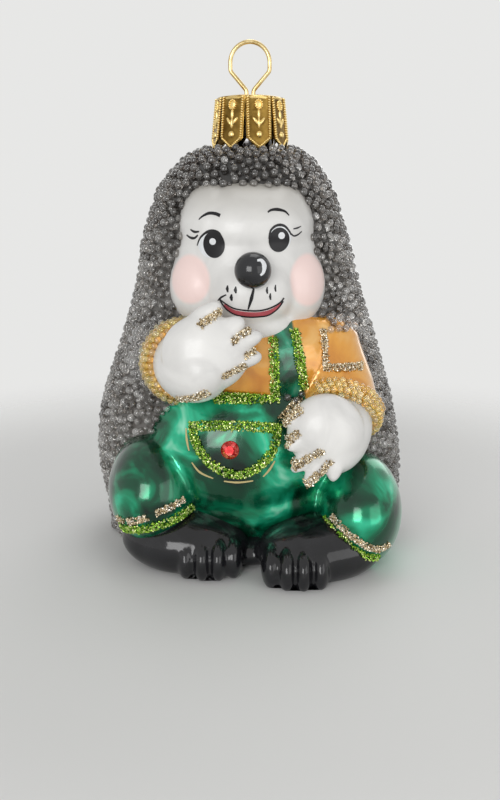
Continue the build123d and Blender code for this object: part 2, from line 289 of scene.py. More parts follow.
bpy.ops.mesh.primitive_cylinder_add(
    vertices=64,
    radius=neck_radius * MM,
    depth=(neck_top - neck_foot) * MM,
    location=(0, 0, (neck_top + neck_foot) / 2 * MM),
)
neck = bpy.context.object
choose_face(neck, lambda face: face.normal.z > 0.9)
bpy.ops.mesh.inset(thickness=neck_wall * MM)
bpy.ops.mesh.extrude_region_move(TRANSFORM_OT_translate={"value": (0, 0, -bore_depth * MM)})
bpy.ops.object.mode_set(mode="OBJECT")
rim = neck.modifiers.new("rim", "BEVEL")
rim.width = 0.25 * MM
rim.segments = 3
rim.limit_method = "ANGLE"
settle(neck, "glass_neck")
bpy.ops.object.shade_smooth_by_angle(angle=0.7)
silvered, tree, shader = new_finish("silvered_glass", 0.12, 1.0, metallic=0.9)
silver = shaded(tree, mottled(tree, 300)["Cloud"], neck_stops)
# Below 97.5 mm the silver is replaced by near black: painted shade under the petals.
neck_unshaded = past(tree, spot_on(tree)["Z"], neck_shaded_to, soft=1.2)
tree.links.new(mixed(tree, neck_unshaded, neck_painted_shade, silver), shader.inputs["Base Color"])
wear(neck, silvered)


# The head: a broad, low forehead, full cheeks and a short muzzle, blown in one and lacquered pearl white.
# Both cheeks are sprayed pale pink before the clear top coat.
pearl = (0.80, 0.79, 0.77)
# The grey that the forehead turns to higher up: painted shade.
pearl_painted_shade = (0.47, 0.45, 0.41)
pearl_shade_above = 83
blush = (0.95, 0.74, 0.70)
blush_spots = (((-13.2, -18.6, 66.6), (4.9, 9, 5.5)), ((12.9, -18, 66.4), (4.6, 9, 5.9)))


def ball(centre, half, turn, segments, rings):
    """A ball about a centre in millimetres, stretched to its half sizes in metres, and turned."""
    bpy.ops.object.select_all(action="DESELECT")
    bpy.ops.mesh.primitive_uv_sphere_add(
        segments=segments, ring_count=rings, radius=1, location=centre * MM, rotation=turn, scale=half
    )
    return bpy.context.object


def egg(centre, size, turn=0.0):
    """One blown swelling, from its centre, full size and turn about the vertical."""
    return ball(Vector(centre), Vector(size) * MM / 2, (0, 0, math.radians(turn)), 56, 36)


def pod(root, tip, radius):
    """One long swelling, from its root to its tip."""
    root, tip = Vector(root), Vector(tip)
    along = tip - root
    half = Vector((radius, radius, along.length / 2 + radius)) * MM
    return ball((root + tip) / 2, half, along.to_track_quat("Z", "Y").to_euler(), 32, 32)


def joined(pieces):
    """The pieces made one, in the first of them."""
    pick(*pieces)
    if len(pieces) > 1:
        bpy.ops.object.join()
    return pieces[0]


def blown(name, forms, voxel=0.55, rounds=10):
    """The forms melted into one smooth skin, cut flat where it would pass the floor."""
    piece = joined(forms)
    bpy.ops.object.transform_apply(location=True, rotation=True, scale=True)
    melt = piece.modifiers.new("melt", "REMESH")
    melt.mode = "VOXEL"
    melt.voxel_size = voxel * MM
    soften = piece.modifiers.new("soften", "SMOOTH")
    soften.factor = 0.5
    soften.iterations = rounds
    settle(piece, name)
    if min(corner[2] for corner in piece.bound_box) < 0:
        bpy.ops.object.mode_set(mode="EDIT")
        bpy.ops.mesh.select_all(action="SELECT")
        bpy.ops.mesh.bisect(plane_co=(0, 0, 0.05 * MM), plane_no=(0, 0, 1), use_fill=True, clear_inner=True)
        bpy.ops.object.mode_set(mode="OBJECT")
    return piece


def measure(tree, operation, vector, other=(0, 0, 0)):
    """One number taken from a vector, by itself or against a fixed one."""
    node = tree.nodes.new("ShaderNodeVectorMath")
    node.operation = operation
    tree.links.new(vector, node.inputs[0])
    node.inputs[1].default_value = other
    return node.outputs["Value"]


def pearl_finish(name, spots=(), shade_forehead=False):
    """Pearl lacquer under a clear coat, with soft sprayed spots, and greyer up the forehead above a height as painted
    shade.
    """
    finish, tree, shader = new_finish(name, 0.4, 0.2)
    shader.inputs["Coat Roughness"].default_value = 0.12
    clouds = mottled(tree, 110)["Cloud"]
    dull, bright = tuple(c * 0.86 for c in pearl), tuple(min(1, c * 1.08) for c in pearl)
    colour = shaded(tree, clouds, ((0.25, dull), (0.55, pearl), (0.8, bright)))
    if shade_forehead:
        # Above 83 mm the pearl is mixed towards grey: painted shade over the top of the forehead.
        colour = mixed(tree, past(tree, spot_on(tree)["Z"], pearl_shade_above, soft=4), colour, pearl_painted_shade)
    for centre, half in spots:
        place = tree.nodes.new("ShaderNodeMapping")
        place.inputs["Location"].default_value = [-c / h for c, h in zip(centre, half)]
        place.inputs["Scale"].default_value = [1 / (h * MM) for h in half]
        tree.links.new(place_on(tree), place.inputs["Vector"])
        reach = measure(tree, "LENGTH", place.outputs["Vector"])
        colour = mixed(tree, spread(tree, reach, 1.08, 0.86, kind="SMOOTHSTEP"), colour, blush)
    tree.links.new(colour, shader.inputs["Base Color"])
    rippled(tree, shader, clouds, 0.12, 0.5)
    return finish


head = blown(
    "glass_head",
    [
        egg((-0.8, -5, 77), (33, 37, 24)),
        egg((-7.8, -5.5, 77.5), (18, 32, 22)),
        egg((6, -5.5, 77.5), (18, 32, 22)),
        egg((-0.8, -6, 69), (35, 35.5, 34)),
        egg((-10.5, -11.5, 64.5), (16, 18.5, 20)),
        egg((9.3, -11.5, 64.5), (16, 18.5, 20)),
        egg((0.2, -18, 64), (20, 17, 17)),
        egg((0, -14, 56), (22, 19, 12)),
    ],
    voxel=0.5,
    rounds=24,
)
wear(head, pearl_finish("pearl_face", blush_spots, shade_forehead=True))


# The shirt: the chest and both sleeves, see-through orange lacquer over the silvered glass.
# The straps of the dungarees are painted over it in green, and the raised arm's sleeve is
# dark behind its cuff, where the beads of the back run on over it.
right_cuff = (Vector((-14.6, -19, 48)), Vector((0.35, -0.93, 0.05)).normalized())
left_cuff = (Vector((20.2, -20.5, 36)), Vector((-0.2, -0.75, -0.63)).normalized())
cuff_radius = 8.8
sleeve_length = 16
right_shoulder = (right_cuff[0] - right_cuff[1] * sleeve_length, right_cuff[1])
left_shoulder = (Vector((17.5, -8, 56)), Vector((-0.15, -0.4, -0.9)))
right_shoulder_radius, left_shoulder_radius = 9.6, 8
shoulder_round = 4.5
chest_centre, chest_size = (1, -7, 47), (46, 35, 32)
orange_stops = ((0.25, (0.55, 0.18, 0.012)), (0.5, (0.80, 0.36, 0.04)), (0.72, (0.93, 0.57, 0.19)))
# The emerald's cloudy tones; the two palest stops are painted highlights for the silver shining through the lacquer.
green_stops_with_painted_glints = (
    (0.3, (0.0, 0.012, 0.006)),
    (0.43, (0.0, 0.07, 0.03)),
    (0.53, (0.0, 0.25, 0.115)),
    (0.62, (0.02, 0.53, 0.29)),
    (0.74, (0.42, 0.92, 0.68)),
)
# The straps take the same stops darker, painted highlights included.
strap_stops = [(place, tuple(c * 0.55 for c in colour)) for place, colour in green_stops_with_painted_glints]
left_strap_inner, left_strap_outer, strap_lean = 5.2, 12.3, 0.18
right_strap_inner, right_strap_outer = -7.0, -14.0
strap_foot = 41.5
beads_behind_cuff, beads_beside_chest = 2.8, -11.0
under_beads = (0.07, 0.065, 0.068)


def sleeve(cuff, cuff_radius, shoulder, shoulder_radius):
    """A round sleeve between two rings, each given by its centre and the way it faces, rounded at the shoulder."""
    rings = []
    for (centre, facing), radius in ((shoulder, shoulder_radius), (cuff, cuff_radius)):
        bpy.ops.object.select_all(action="DESELECT")
        bpy.ops.mesh.primitive_circle_add(
            vertices=64,
            radius=radius * MM,
            fill_type="NGON",
            location=Vector(centre) * MM,
            rotation=Vector(facing).to_track_quat("Z", "Y").to_euler(),
        )
        rings.append(bpy.context.object)
    tube = joined(rings[::-1])
    bpy.ops.object.mode_set(mode="EDIT")
    bpy.ops.mesh.select_all(action="SELECT")
    bpy.ops.mesh.bridge_edge_loops(number_cuts=6)
    bpy.ops.object.mode_set(mode="OBJECT")
    face_out()
    ends = [face for face in tube.data.polygons if len(face.vertices) > 4]
    away = [(tube.matrix_world @ face.center - Vector(shoulder[0]) * MM).length for face in ends]
    upper = ends[away.index(min(away))].index
    choose_face(tube, lambda face: face.index == upper)
    bpy.ops.mesh.bevel(offset=shoulder_round * MM, segments=5, affect="EDGES")
    bpy.ops.object.mode_set(mode="OBJECT")
    return tube


shirt = blown(
    "glass_shirt",
    [
        egg(chest_centre, chest_size),
        sleeve(right_cuff, cuff_radius, right_shoulder, right_shoulder_radius),
        sleeve(left_cuff, cuff_radius, left_shoulder, left_shoulder_radius),
    ],
    rounds=8,
)
shirt_lacquer, tree, shader = new_finish("orange_lacquer", 0.24, 1.0, metallic=0.25)
clouds = mottled(tree, 120)["Cloud"]
spot = spot_on(tree)
leaning = maths(tree, "ADD", spot["X"], maths(tree, "MULTIPLY", spot["Z"], strap_lean))
left_strap = maths(
    tree,
    "MULTIPLY",
    past(tree, spot["X"], left_strap_inner),
    past(tree, leaning, left_strap_outer + strap_lean * strap_foot, above=False),
)
right_strap = maths(
    tree,
    "MULTIPLY",
    past(tree, spot["X"], right_strap_inner, above=False),
    past(tree, spot["X"], right_strap_outer),
)
straps = maths(tree, "MAXIMUM", left_strap, right_strap)
dressed = mixed(tree, straps, shaded(tree, clouds, orange_stops), shaded(tree, clouds, strap_stops))
along_arm = measure(tree, "DOT_PRODUCT", place_on(tree), right_cuff[1])
covered = maths(
    tree,
    "MULTIPLY",
    past(tree, along_arm, right_cuff[0].dot(right_cuff[1]) - beads_behind_cuff, above=False),
    past(tree, spot["X"], beads_beside_chest, above=False),
)
tree.links.new(mixed(tree, covered, dressed, under_beads), shader.inputs["Base Color"])
rippled(tree, shader, clouds, 0.25, 0.7)
wear(shirt, shirt_lacquer)


# The dungarees: the belly, the lap and both thighs, blown with the body.
# They are see-through emerald lacquer over the silvered glass, cloudy in tone, and the palest of its clouds are
# painted highlights for the silver's reflections.
dungarees = blown(
    "glass_dungarees",
    [
        egg((-1.5, -5, 27), (52, 48, 46)),
        egg((-22.5, -16, 17), (22, 29, 27)),
        egg((25.5, -17.5, 12.5), (20.5, 31, 27)),
        egg((0.5, -14, 15), (38, 23, 22)),
    ],
    rounds=8,
)
green_lacquer, tree, shader = new_finish("green_lacquer", 0.2, 0.5, metallic=0.5)
rippled(tree, shader, clouded(tree, shader, 88, green_stops_with_painted_glints), 0.35, 0.9)
wear(dungarees, green_lacquer)


# The hands: each forearm, palm and finger is blown in one with the body.
# They wear the same pearl white lacquer as the face.
right_finger, left_finger = 2.7, 2.2


def forearm(cuff, reach, radius, half_length):
    """A forearm that swells out of its cuff."""
    centre, facing = cuff
    middle = centre + facing * reach
    return pod(middle - facing * (half_length - radius), middle + facing * (half_length - radius), radius)


right_hand = blown(
    "glass_right_hand",
    [
        forearm(right_cuff, 5, 8.2, 13.2),
        egg((-9.5, -29.5, 52), (19, 11, 17)),
        pod((-13, -28, 57), (-8, -29, 61.2), 2.4),
        pod((-10, -30, 54), (-3.4, -30, 58), right_finger),
        pod((-10, -30, 52.5), (0.2, -30, 55.4), right_finger),
        pod((-10, -30, 50.5), (0, -30, 51.2), right_finger),
    ],
    voxel=0.4,
    rounds=10,
)
left_hand = blown(
    "glass_left_hand",
    [
        forearm(left_cuff, 3.5, 8, 11.5),
        egg((16.5, -29, 34.5), (17, 10.5, 17)),
        pod((17, -29, 40), (9.5, -30, 37.2), left_finger),
        pod((17, -30, 36), (9.8, -31.5, 32.3), left_finger),
        pod((18, -30, 34), (10.6, -31.5, 27.6), left_finger),
        pod((18.5, -30, 33), (13.2, -31.5, 24.6), left_finger),
        pod((19.5, -30, 33), (18.3, -31.5, 26), left_finger),
    ],
    voxel=0.4,
    rounds=10,
)
pearl_hands = pearl_finish("pearl_hands")
wear(right_hand, pearl_hands)
wear(left_hand, pearl_hands)


# The feet: two broad feet with four toes each and the instep between them.
# They are blown with the body and dipped in glossy black lacquer.
toe_size = (4.6, 10, 10)
right_toes = ((-14.5, -27.5, 4.2), (-10.8, -28.7, 4.2), (-7.2, -28.7, 4.2), (-3.8, -27.4, 4.2))
left_toes = ((4.7, -31.5, 3.8), (8.2, -33, 3.8), (11.8, -33.3, 3.8), (15.6, -32.5, 3.8))
feet = blown(
    "glass_feet",
    [
        egg((-15.5, -21, 6), (30, 20, 15.6), -12),
        egg((16.3, -24.5, 5.5), (30, 21, 15.6), 12),
        egg((0, -17, 3), (22, 18, 8)),
        *[egg(toe, toe_size) for toe in right_toes + left_toes],
    ],
    voxel=0.45,
    rounds=8,
)
black_lacquer, tree, shader = new_finish("black_lacquer", 0.12)
black_stops = ((0.3, (0.004, 0.004, 0.005)), (0.75, (0.018, 0.018, 0.021)))
rippled(tree, shader, clouded(tree, shader, 120, black_stops), 0.2, 0.6)
wear(feet, black_lacquer)


# The nose: a round ball at the end of the muzzle, blown in one with the head.
# It is lacquered the same black as the feet, and its white gleam is painted on with the face.
nose = blown("glass_nose", [egg((0.6, -26.8, 69.3), (7.9, 7.2, 7.8))], voxel=0.25, rounds=6)
wear(nose, black_lacquer)


# The painted face: brows, eyes, lashes, nose line, mouth and freckles, put on by brush.
# Each stroke is a thin film of enamel that follows the glass under it.
ink = (0.012, 0.011, 0.013)
chalk = (0.86, 0.88, 0.90)
rose = (0.52, 0.10, 0.12)
film = 0.07
under_film = 0.01


def skin_of(*pieces):
    """A tree of the pieces' faces, to find where their surfaces are."""
    graph = bpy.context.evaluated_depsgraph_get()
    return [BVHTree.FromObject(piece, graph) for piece in pieces]


face_skin, nose_skin = skin_of(head, nose)
enamel_finishes = {}


def enamel_finish(colour):
    """Brush enamel of one colour, a little uneven."""
    if colour not in enamel_finishes:
        finish, tree, shader = new_finish("enamel_%d" % len(enamel_finishes), 0.3)
        shader.inputs["Specular IOR Level"].default_value = 0.3
        clouded(tree, shader, 500, ((0.2, tuple(c * 0.8 for c in colour)), (0.7, colour)))
        enamel_finishes[colour] = finish
    return enamel_finishes[colour]


def enamel(name, colour, shape, along=24, across=4, skin=face_skin, lift=0.0):
    """A film of paint: a grid laid by shape(u, v), in x and z, and pressed back onto the glass."""
    bpy.ops.object.select_all(action="DESELECT")
    bpy.ops.mesh.primitive_grid_add(x_subdivisions=along, y_subdivisions=across, size=2)
    patch = bpy.context.object
    for corner in patch.data.vertices:
        x, z = shape((corner.co.x + 1) / 2, (corner.co.y + 1) / 2)
        spot, normal, _, _ = skin.ray_cast(Vector((x, -60, z)) * MM, Vector((0, 1, 0)))
        corner.co = spot + normal * (lift + under_film) * MM
    face_out()
    if sum(face.normal.y for face in patch.data.polygons) > 0:
        patch.data.flip_normals()
    layer = patch.modifiers.new("film", "SOLIDIFY")
    layer.thickness = film * MM
    layer.offset = 1
    settle(patch, name)
    bpy.ops.object.shade_smooth_by_angle(angle=0.8)
    return wear(patch, enamel_finish(colour))


def stroke(name, points, widths, colour=ink, **more):
    """A brush stroke through the points, with its widths at the start, the middle and the end."""
    start, middle, end = widths

    def shape(u, v):
        spot = through(points, u)
        ahead = through(points, min(u + 0.02, 1)) - through(points, max(u - 0.02, 0))
        side = Vector((-ahead.y, ahead.x)).normalized()
        width = start + (middle - start) * 2 * u if u < 0.5 else middle + (end - middle) * (2 * u - 1)
        return spot + side * (v - 0.5) * width

    return enamel(name, colour, shape, along=28, across=3, **more)


def disc(name, centre, half, colour, tilt=0.0, **more):
    """A filled oval."""
    lean = math.radians(tilt)

    def shape(u, v):
        a, b = 2 * u - 1, 2 * v - 1
        x, z = a * math.sqrt(1 - b * b / 2) * half[0], b * math.sqrt(1 - a * a / 2) * half[1]
        return (
            centre[0] + x * math.cos(lean) - z * math.sin(lean),
            centre[1] + x * math.sin(lean) + z * math.cos(lean),
        )

    return enamel(name, colour, shape, along=18, across=18, **more)


gleam = (0.72, 0.72)
right_brow = ((-11.05, 79.55), (-10.2, 80.3), (-8.85, 80.9), (-7.5, 80.85), (-6.4, 80.45))
left_brow = ((3.8, 81.15), (4.55, 81.6), (5.9, 81.7), (7.5, 81.3), (8.4, 80.45))
right_lid = ((-11.5, 74.0), (-10.75, 75.7), (-9.4, 76.9), (-7.95, 77.3), (-6.65, 76.85), (-5.9, 75.6))
left_lid = ((4.05, 75.6), (4.45, 77.4), (5.75, 78.4), (7.3, 78.3), (8.4, 77.2), (8.85, 76.35))
right_lash_top = ((-11.0, 77.05), (-12.05, 76.95), (-13.0, 77.4))
right_lash_low = ((-11.3, 76.3), (-12.1, 75.6), (-13.1, 75.65), (-13.95, 76.15))
left_lash_top = ((9.4, 77.6), (10.3, 77.78), (11.1, 78.1))
left_lash_low = ((8.9, 76.6), (9.5, 76.1), (10.45, 76.35), (11.3, 77.0))
stroke("paint_right_brow", right_brow, (0.15, 0.6, 0.75))
stroke("paint_left_brow", left_brow, (0.3, 0.65, 0.2))
disc("paint_right_eye_white", (-8.9, 74.3), (2.35, 2.75), chalk, tilt=8)
disc("paint_right_iris", (-7.75, 74.35), (2.35, 2.85), ink, tilt=4, lift=0.04)
disc("paint_right_gleam", (-8.0, 75.0), gleam, chalk, lift=0.09)
stroke("paint_right_lid", right_lid, (0.2, 0.62, 0.35), lift=0.03)
stroke("paint_right_lash_top", right_lash_top, (0.3, 0.55, 0.25))
stroke("paint_right_lash_low", right_lash_low, (0.25, 0.6, 0.25))
disc("paint_left_eye_white", (6.5, 75.65), (2.4, 2.8), chalk, tilt=-10)
disc("paint_left_iris", (6.25, 75.35), (2.25, 2.6), ink, tilt=-8, lift=0.04)
disc("paint_left_gleam", (6.75, 76.25), gleam, chalk, lift=0.09)
stroke("paint_left_lid", left_lid, (0.3, 0.6, 0.25), lift=0.03)
stroke("paint_left_lash_top", left_lash_top, (0.25, 0.32, 0.15))
stroke("paint_left_lash_low", left_lash_low, (0.25, 0.36, 0.15))
stroke("paint_nose_line", ((0.85, 65.6), (0.3, 63.3), (-0.4, 60.9)), (0.35, 0.75, 0.25))
mouth_top = (
    *((-6.5, 62.85), (-4.85, 61.75), (-3.25, 61.0), (-0.55, 60.65)),
    *((2.15, 60.62), (4.6, 61.2), (6.5, 62.2), (7.3, 63.1)),
)
mouth_low = (
    *((-6.5, 62.7), (-5.15, 60.85), (-3.25, 59.65), (-0.55, 59.15)),
    *((2.15, 59.2), (4.05, 59.5), (5.95, 60.8), (7.15, 62.4)),
)


def lips(u, v):
    """The lower lip: it fills most of the room between the mouth's two lines, but not the corners."""
    along = 0.1 + 0.8 * u
    full = 0.75 * v
    return through(mouth_low, along) * (1 - full) + through(mouth_top, along) * full


enamel("paint_mouth", rose, lips, along=40, across=5)
stroke("paint_mouth_top", mouth_top, (0.25, 0.34, 0.3), lift=0.04)
stroke("paint_mouth_low", mouth_low, (0.3, 0.32, 0.3), lift=0.04)
stroke("paint_mouth_tick", ((-6.95, 62.5), (-6.2, 63.3), (-5.1, 63.95)), (0.2, 0.42, 0.25))
freckles = (
    *((-4.85, 65.2, 0.62), (-3.1, 65.05, 0.7), (-4.0, 63.4, 0.75)),
    *((3.6, 64.95, 0.5), (5.4, 65.3, 0.4), (4.3, 63.6, 0.5)),
)
for number, (x, z, wide) in enumerate(freckles):
    stroke("paint_freckle_%d" % number, ((x + 0.08, z + 0.75), (x, z), (x + 0.12, z - 0.7)), (0.15, wide, 0.25))
nose_gleam = ((1.5, 71.6), (2.3, 71.6), (2.85, 70.9), (2.95, 70.0), (2.7, 69.1), (2.15, 68.6))
stroke("paint_nose_gleam", nose_gleam, (0.35, 0.95, 0.35), colour=chalk, skin=nose_skin)


# The spines: thousands of clear glass beads glued over the dark back, as close as they will lie.
# None lie on the face or round the neck, but they run on over the raised arm's sleeve to its cuff,
# and over the top of the other sleeve to its seam.
random.seed(7)
scatter = np.random.default_rng(7)
bead_gap, bead_radii = 1.8, (0.86, 1.0)
filler_gap, filler_radii = 1.4, (0.5, 0.62)
cell = 2
neck_clear = 10.0
sleeve_beads_from = 3.4
seam_side, seam_top = 17.6, 54.6
back_from = 14
# From the first height to the second the beads are coloured darker upwards: painted shade on the crown.
crown_shade_from, crown_shade_to = 66, 94
clear_stops = ((0.0, (0.15, 0.13, 0.115)), (0.5, (0.45, 0.42, 0.39)), (1.0, (0.97, 0.96, 0.94)))
# The pale colour that each bead turns to at its outline: a painted reflection round the rim.
bead_rim_glint = (0.8, 0.79, 0.77)
clothing = skin_of(head, shirt, dungarees, right_hand, left_hand, feet)
shirt_skin = clothing[1]
bare_skins = [skin for skin in clothing if skin is not shirt_skin]


def depth_out(point, skins):
    """How far a point is outside the nearest of these skins, in millimetres; negative inside."""
    best = 1e9
    for skin in skins:
        spot, normal, _, away = skin.find_nearest(point)
        best = min(best, (away if (point - spot).dot(normal) > 0 else -away) / MM)
    return best


def mantle_throws(count):
    """Even throws over the mantle: places on it and the ways out of it, in millimetres."""
    steps = np.linspace(0, 1, 1201)
    table = np.array([mantle_at(step) for step in steps])
    slope = np.gradient(table, axis=0)
    weight = np.hypot(slope[:, 0], slope[:, 1]) * (table[:, 1] + table[:, 2])
    places = np.interp(scatter.random(count), np.cumsum(weight) / weight.sum(), steps)
    angle = scatter.random(count) * math.tau
    height, wide, deep, x, y = [np.interp(places, steps, column) for column in table.T]
    rise = [np.interp(places, steps, column) for column in slope.T]
    foot = np.stack([x + wide * np.cos(angle), y + deep * np.sin(angle), height], axis=1)
    spin = np.stack([-wide * np.sin(angle), deep * np.cos(angle), 0 * angle], axis=1)
    climb = np.stack([rise[1] * np.cos(angle) + rise[3], rise[2] * np.sin(angle) + rise[4], rise[0]], axis=1)
    out = np.cross(spin, climb)
    return foot, out / np.linalg.norm(out, axis=1, keepdims=True)


def ways_round(facing):
    """Two ways square to a facing and to each other."""
    side = facing.orthogonal().normalized()
    return side, facing.cross(side)


def sleeve_throws(count):
    """Throws over the raised arm's sleeve behind its cuff, left out where it lies in the chest or the mantle."""
    centre, facing = right_cuff
    side, up = ways_round(facing)
    _, wide, deep, x, y = mantle_at(0.5)
    feet, outs = [], []
    for back, angle in zip(scatter.uniform(sleeve_beads_from, sleeve_length, count), scatter.random(count) * math.tau):
        out = side * math.cos(angle) + up * math.sin(angle)
        foot = centre - facing * back + out * (cuff_radius + 0.05 * back + 0.3)
        chest = [2 * (f - c) / s for f, c, s in zip(foot, chest_centre, chest_size)]
        in_mantle = math.hypot((foot.x - x) / wide, (foot.y - y) / deep) < 1
        if Vector(chest).length >= 1.03 and not in_mantle:
            spot, normal, _, _ = shirt_skin.find_nearest(foot * MM)
            feet.append(spot / MM - normal * glue_bed)
            outs.append(normal)
    return np.array(feet), np.array(outs)


def shoulder_throws(count):
    """Throws over the top of the other sleeve, where the beads run on as far as its seam."""
    top = [face for face in shirt.data.polygons if face.center.x > seam_side * MM and face.center.z > seam_top * MM]
    thrown = random.choices(top, weights=[face.area for face in top], k=count)
    return [face.center / MM - face.normal * glue_bed for face in thrown], [face.normal for face in thrown]


cells = {}
beads = []


def cell_of(point):
    """The cell that a point lies in, by which its neighbours are looked up."""
    return tuple(int(c // cell) for c in point)


def room_for(point, gap):
    """Whether no bead is nearer than gap, which is less than a cell."""
    x, y, z = cell_of(point)
    near = [(x + i, y + j, z + k) for i in (-1, 0, 1) for j in (-1, 0, 1) for k in (-1, 0, 1)]
    return all((other - point).length_squared >= gap * gap for key in near for other in cells.get(key, ()))


def lay_beads(throws, gap, radii, skins):
    """A bead at every throw that still has room, and is clear of the neck, the lap and the chin."""
    for foot, out in zip(*throws):
        radius = random.uniform(*radii)
        point = Vector(foot) + Vector(out) * (glue_bed + radius * 0.5 + random.uniform(0, 0.2))
        on_neck = math.hypot(point.x, point.y) < neck_clear
        on_lap = point.y < -10 and point.z < 22
        by_chin = point.y < -13.5 and 8 < point.x < 15.5 and 50 < point.z < 61
        if point.z < radius + 0.1 or on_neck or on_lap or by_chin or not room_for(point, gap):
            continue
        if depth_out(point * MM, skins) > 0.1:
            cells.setdefault(cell_of(point), []).append(point)
            beads.append((point, radius))


lay_beads(sleeve_throws(9000), bead_gap, bead_radii, bare_skins)
lay_beads(shoulder_throws(3000), bead_gap, bead_radii, bare_skins)
lay_beads(mantle_throws(150000), bead_gap, bead_radii, clothing)
lay_beads(mantle_throws(70000), filler_gap, filler_radii, clothing)


def shape_of(make):
    """The corners and triangles of a small primitive, taken and the primitive put away."""
    bpy.ops.object.select_all(action="DESELECT")
    make()
    model = bpy.context.object
    bpy.ops.object.mode_set(mode="EDIT")
    bpy.ops.mesh.select_all(action="SELECT")
    bpy.ops.mesh.quads_convert_to_tris()
    bpy.ops.object.mode_set(mode="OBJECT")
    corners = np.array([v.co[:] for v in model.data.vertices])
    faces = np.array([p.vertices[:] for p in model.data.polygons])
    bpy.data.objects.remove(model)
    return corners, faces


def many(name, shape, places, shades, smooth=True):
    """Copies of one small shape in one mesh, each by its own matrix, with a shade of its own."""
    corners, faces = shape
    flat = np.concatenate([corners, np.ones((len(corners), 1))], axis=1)
    all_corners = np.concatenate([(flat @ np.array(place).T)[:, :3] for place in places])
    all_faces = np.concatenate([faces + len(corners) * number for number in range(len(places))])
    mesh = bpy.data.meshes.new(name)
    mesh.from_pydata(all_corners.tolist(), [], all_faces.tolist())
    tone = mesh.attributes.new("tone", "FLOAT", "POINT")
    tone.data.foreach_set("value", np.repeat(np.array(shades, dtype=np.float32), len(corners)))
    mesh.polygons.foreach_set("use_smooth", [smooth] * len(mesh.polygons))
    mesh.update()
    piece = bpy.data.objects.new(name, mesh)
    bpy.context.scene.collection.objects.link(piece)
    return piece


def kept_on(tree, name):
    """A value that each point of the mesh keeps under this name."""
    node = tree.nodes.new("ShaderNodeAttribute")
    node.attribute_name = name
    return node.outputs["Fac"]


round_bead = shape_of(lambda: bpy.ops.mesh.primitive_ico_sphere_add(subdivisions=2, radius=1))


def bead_place(point, radius):
    """Where a bead goes, turned at random so that no two show the same facets."""
    turn = Matrix.Rotation(random.uniform(0, math.tau), 4, Vector((random.random(), random.random(), 0.3)))
    return Matrix.Translation(point * MM) @ turn @ Matrix.Scale(radius * MM, 4)


def bead_tone_with_painted_shade(point):
    """How pale a bead is: each a little different at random, and darker up the crown of the head as painted shade."""
    high = max(0, point.z - crown_shade_from) / (crown_shade_to - crown_shade_from)
    return min(1, max(0, random.gauss(0.6 - 0.42 * high, 0.24)))


clear_glass, tree, shader = new_finish("clear_beads", 0.09, 1.0)
shader.inputs["Transmission Weight"].default_value = 0.86
shader.inputs["IOR"].default_value = 1.55
# Each bead's colour turns pale towards its outline, by Layer Weight: a painted reflection round the rim.
edge = tree.nodes.new("ShaderNodeLayerWeight")
edge.inputs["Blend"].default_value = 0.5
painted_rim_glint = spread(tree, edge.outputs["Facing"], 0.5, 0.9)
glass_tone = shaded(tree, kept_on(tree, "tone"), clear_stops)
tree.links.new(mixed(tree, painted_rim_glint, glass_tone, bead_rim_glint), shader.inputs["Base Color"])
parts_of_coat = {"right": [], "left": [], "back": []}
for point, radius in beads:
    side = "back" if point.y > back_from else ("right" if point.x < 0 else "left")
    parts_of_coat[side].append((point, radius))
for side, laid in parts_of_coat.items():
    places = [bead_place(point, radius) for point, radius in laid]
    coat = many("spine_beads_" + side, round_bead, places, [bead_tone_with_painted_shade(point) for point, radius in laid])
    wear(coat, clear_glass)
    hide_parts("spine_bead_coat")


# The cuffs: amber glass beads round the mouth of each sleeve, in four rows that lie against each other.
# They are glued on by hand, so no two are quite in line.
cuff_bead = 0.8
cuff_rows = ((0.5, -0.5), (-0.1, 0.6), (-1.4, 0.65), (-2.7, 0.65))
right_cuff_inner, left_cuff_inner = -12.6, 14.4
amber_stops = ((0.0, (0.96, 0.70, 0.20)), (0.5, (1.0, 0.85, 0.36)), (1.0, (1.0, 0.95, 0.62)))
amber_glass, tree, shader = new_finish("amber_beads", 0.1, 1.0)
shader.inputs["Transmission Weight"].default_value = 0.75
shader.inputs["IOR"].default_value = 1.5
tree.links.new(shaded(tree, kept_on(tree, "tone"), amber_stops), shader.inputs["Base Color"])
for name, (centre, facing), node, keep in (
    ("right_cuff_bead_rows", right_cuff, "right_cuff_beads", lambda p: p.x < right_cuff_inner),
    ("left_cuff_bead_rows", left_cuff, "left_cuff_beads", lambda p: p.x > left_cuff_inner),
):
    side, up = ways_round(facing)
    laid = []
    for row, (ahead, proud) in enumerate(cuff_rows):
        ring = cuff_radius + proud
        count = int(math.tau * ring / (cuff_bead * 1.86))
        for number in range(count):
            angle = math.tau * (number + 0.5 * (row % 2)) / count
            radius = cuff_bead * random.uniform(0.92, 1.08)
            point = centre + facing * ahead + (side * math.cos(angle) + up * math.sin(angle)) * ring
            point += Vector([random.uniform(-0.12, 0.12) for _ in range(3)])
            if keep(point) and depth_out(point * MM, bare_skins) > 0.2:
                laid.append((point, radius))
    cuff = many(name, round_bead, [bead_place(*bead) for bead in laid], [random.random() for _ in laid])
    wear(cuff, amber_glass)
    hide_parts(node)


